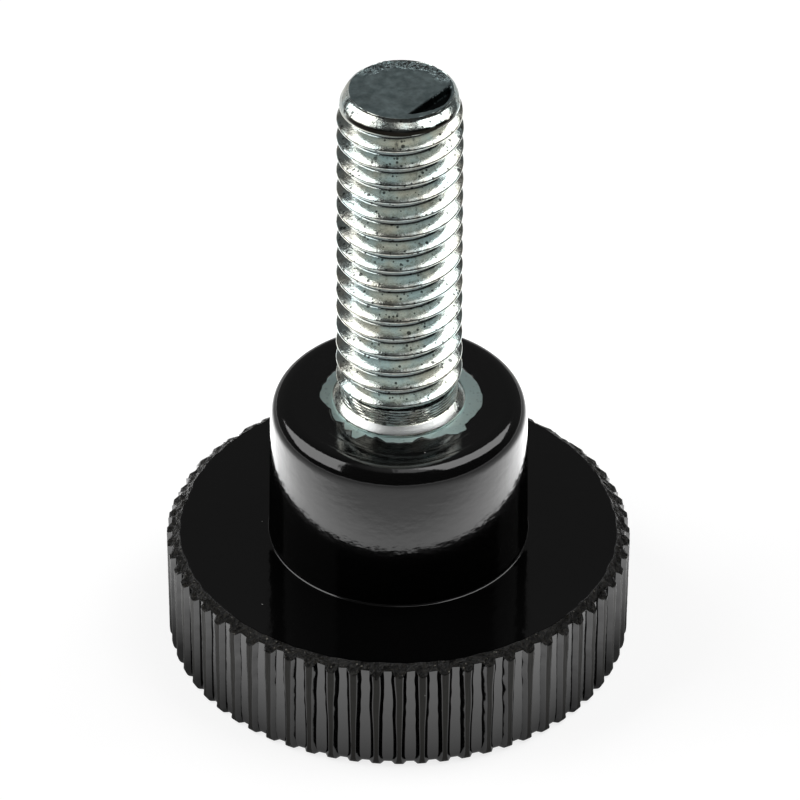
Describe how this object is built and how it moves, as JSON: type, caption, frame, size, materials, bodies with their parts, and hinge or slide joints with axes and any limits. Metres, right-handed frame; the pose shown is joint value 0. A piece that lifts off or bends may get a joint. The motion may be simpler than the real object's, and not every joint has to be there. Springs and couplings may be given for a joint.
{
  "type": "thumb screw",
  "caption": "Thumb screw with a ridged black plastic head on a tall boss and a plated steel threaded stud, turned by the fingers to clamp or lock a part.",
  "frame": {"origin": "middle of the head's finger face, which is the face it stands on", "axes": "+Z along the stud, from the head to the stud's end; X and Y are level, with one ridge of the rim on -Y"},
  "size_m": [0.022, 0.022, 0.0319],
  "materials": {
    "moulded_head": "gloss black moulded thermoset, rough where the rim was trimmed",
    "plated_steel": "bright zinc plating with a faint blue-grey tint"
  },
  "bodies": {
    "root": {"knob": "moulded_head", "threaded_stud": "plated_steel"}
  },
  "joints": []
}
